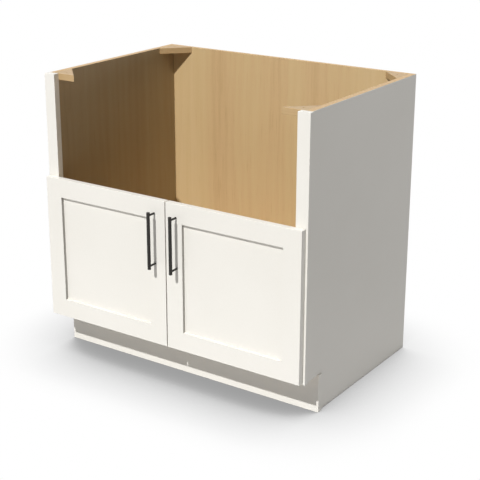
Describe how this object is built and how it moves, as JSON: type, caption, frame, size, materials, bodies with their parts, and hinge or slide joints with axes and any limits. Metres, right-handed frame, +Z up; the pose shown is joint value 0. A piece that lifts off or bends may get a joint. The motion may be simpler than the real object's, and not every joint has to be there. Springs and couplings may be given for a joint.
{
  "type": "sink base cabinet",
  "caption": "Base cabinet for an apron-front sink: face frame, cut-away front, recessed toe kick, corner blocks, and shaker doors with bar pulls on concealed hinges.",
  "frame": {"origin": "on the floor, in the middle of the footprint, pulls included", "axes": "+X to the cabinet's right as seen from the front, +Y to the wall, +Z up"},
  "size_m": [0.9144, 0.6632, 0.8763],
  "materials": {
    "painted_wood": "satin warm white paint",
    "maple_plywood": "clear satin maple veneer; the side panels' outer faces are painted like the face frame",
    "black_metal": "matte black",
    "hinge_steel": "satin nickel plate",
    "clear_bumper": "clear soft plastic"
  },
  "bodies": {
    "carcase": {"back_left_corner_block": "maple_plywood", "back_panel": "maple_plywood", "back_right_corner_block": "maple_plywood", "floor_panel": "maple_plywood", "frame_apron_rail": "painted_wood", "frame_bottom_rail": "painted_wood", "front_left_corner_block": "maple_plywood", "front_right_corner_block": "maple_plywood", "hinge_screws": "hinge_steel", "left_frame_stile": "painted_wood", "left_hinge_arm_pins": "hinge_steel", "left_lower_hinge_arm": "hinge_steel", "left_side_panel": "maple_plywood", "left_upper_hinge_arm": "hinge_steel", "right_frame_stile": "painted_wood", "right_hinge_arm_pins": "hinge_steel", "right_lower_hinge_arm": "hinge_steel", "right_side_panel": "maple_plywood", "right_upper_hinge_arm": "hinge_steel", "toe_kick_board": "painted_wood", "toe_support_board": "maple_plywood"},
    "left_links": {"left_lower_hinge_link": "hinge_steel", "left_upper_hinge_link": "hinge_steel"},
    "left_door": {"left_door_bottom_rail": "painted_wood", "left_door_bumpers": "clear_bumper", "left_door_hinge_stile": "painted_wood", "left_door_meeting_stile": "painted_wood", "left_door_panel": "painted_wood", "left_door_top_rail": "painted_wood", "left_hinge_cup_pins": "hinge_steel", "left_lower_hinge_cup": "hinge_steel", "left_pull_bar": "black_metal", "left_pull_posts": "black_metal", "left_pull_screws": "hinge_steel", "left_upper_hinge_cup": "hinge_steel"},
    "right_links": {"right_lower_hinge_link": "hinge_steel", "right_upper_hinge_link": "hinge_steel"},
    "right_door": {"right_door_bottom_rail": "painted_wood", "right_door_bumpers": "clear_bumper", "right_door_hinge_stile": "painted_wood", "right_door_meeting_stile": "painted_wood", "right_door_panel": "painted_wood", "right_door_top_rail": "painted_wood", "right_hinge_cup_pins": "hinge_steel", "right_lower_hinge_cup": "hinge_steel", "right_pull_bar": "black_metal", "right_pull_posts": "black_metal", "right_pull_screws": "hinge_steel", "right_upper_hinge_cup": "hinge_steel"}
  },
  "joints": [
    {"name": "left_link_swing", "type": "hinge", "parent": "carcase", "child": "left_links", "pos_m": [-0.4159, -0.28318, 0.33337], "axis": [0, 0, 1], "range_deg": [0, 52.5]},
    {"name": "left_door_swing", "type": "hinge", "parent": "left_links", "child": "left_door", "pos_m": [-0.4379, -0.28297, 0.33337], "axis": [0, 0, -1], "range_deg": [0, 157.5]},
    {"name": "right_link_swing", "type": "hinge", "parent": "carcase", "child": "right_links", "pos_m": [0.4159, -0.28318, 0.33337], "axis": [0, 0, -1], "range_deg": [0, 52.5]},
    {"name": "right_door_swing", "type": "hinge", "parent": "right_links", "child": "right_door", "pos_m": [0.4379, -0.28297, 0.33337], "axis": [0, 0, 1], "range_deg": [0, 157.5]}
  ],
  "couplings": [
    {"joint": "left_door_swing", "follows": "left_link_swing", "ratio": 3},
    {"joint": "right_door_swing", "follows": "right_link_swing", "ratio": 3}
  ]
}
